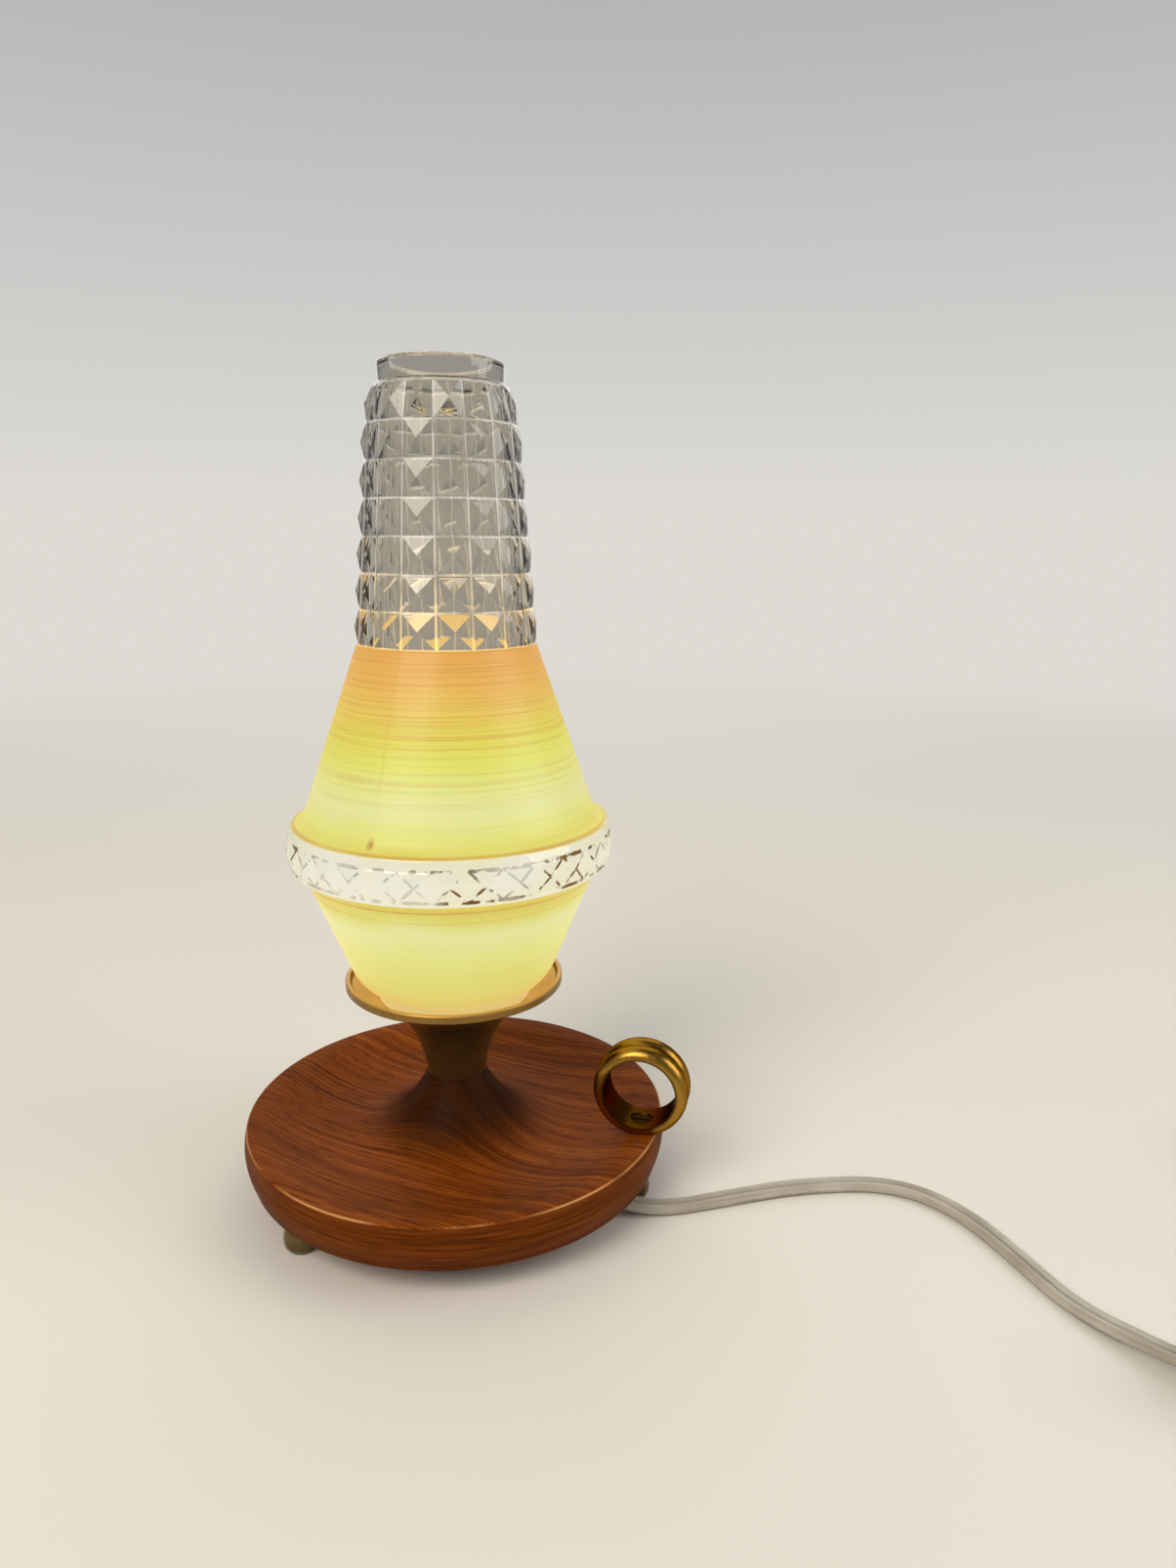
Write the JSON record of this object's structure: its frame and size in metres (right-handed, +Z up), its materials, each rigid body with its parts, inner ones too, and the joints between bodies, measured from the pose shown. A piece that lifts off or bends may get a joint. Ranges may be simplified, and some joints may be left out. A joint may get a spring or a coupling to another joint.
{
  "type": "table lamp",
  "caption": "Candlestick table lamp: dished wooden base with a brass finger ring, brass stem and dish, lift-off pressed-glass shade over a screw-cap bulb, flat twin lead with cord switch.",
  "frame": {"origin": "on the lamp's axis, on the surface that its feet stand on", "axes": "+Z up along the axis; the finger ring lies 30 degrees from +X towards -Y and the cord leaves on the same side"},
  "size_m": [0.3239, 0.2556, 0.2282],
  "materials": {
    "teak": "oiled, straight grain",
    "brass": "lacquered, satin",
    "steel": "zinc plated",
    "moulded_black": "moulded",
    "porcelain": "glazed",
    "bulb_glass": "clear",
    "shade_glass": "pressed, clear with fired enamel on both cones",
    "cord": "extruded",
    "tie": "moulded",
    "moulded_white": "moulded"
  },
  "bodies": {
    "base": {"wood_base": "teak", "feet": "brass", "ring_handle": "brass", "ring_screw": "brass", "threaded_tube": "steel", "base_washer": "steel", "base_nut": "steel", "cord_clip": "steel", "clip_screws": "steel", "stem_trumpet": "brass", "shade_dish": "brass", "dish_washer": "brass", "dish_nut": "brass", "holder_cap": "porcelain", "holder_insert": "porcelain", "holder_sleeve": "porcelain", "screw_shell": "brass", "centre_contact": "brass", "terminal_screws": "brass", "inner_lead": "cord", "cord_lead": "cord", "cord_coil": "cord", "coil_tie": "tie", "switch_base": "moulded_white", "switch_cover": "moulded_white", "rocker_pin": "steel", "switch_contacts": "brass", "switch_screws": "steel", "plug_body": "moulded_white", "plug_pins": "steel"},
    "shade": {"shade_bowl": "shade_glass", "shade_cone": "shade_glass", "shade_neck": "shade_glass"},
    "bulb": {"bulb_cap": "brass", "bulb_insulator": "moulded_black", "bulb_contact": "steel", "bulb_glass": "bulb_glass", "bulb_mount": "bulb_glass"},
    "rocker": {"switch_rocker": "moulded_black"}
  },
  "joints": [
    {"name": "shade_lift", "type": "slide", "parent": "base", "child": "shade", "axis": [0, 0, 1], "range_m": [0, 0.1]},
    {"name": "bulb_turn", "type": "hinge", "parent": "base", "child": "bulb", "pos_m": [0, 0, 0.085], "axis": [0, 0, 1], "range_deg": [0, 900]},
    {"name": "switch_rock", "type": "hinge", "parent": "base", "child": "rocker", "pos_m": [0.16, -0.15, 0.0128], "axis": [-0.7071, -0.7071, 0], "range_deg": [0, 16]}
  ]
}
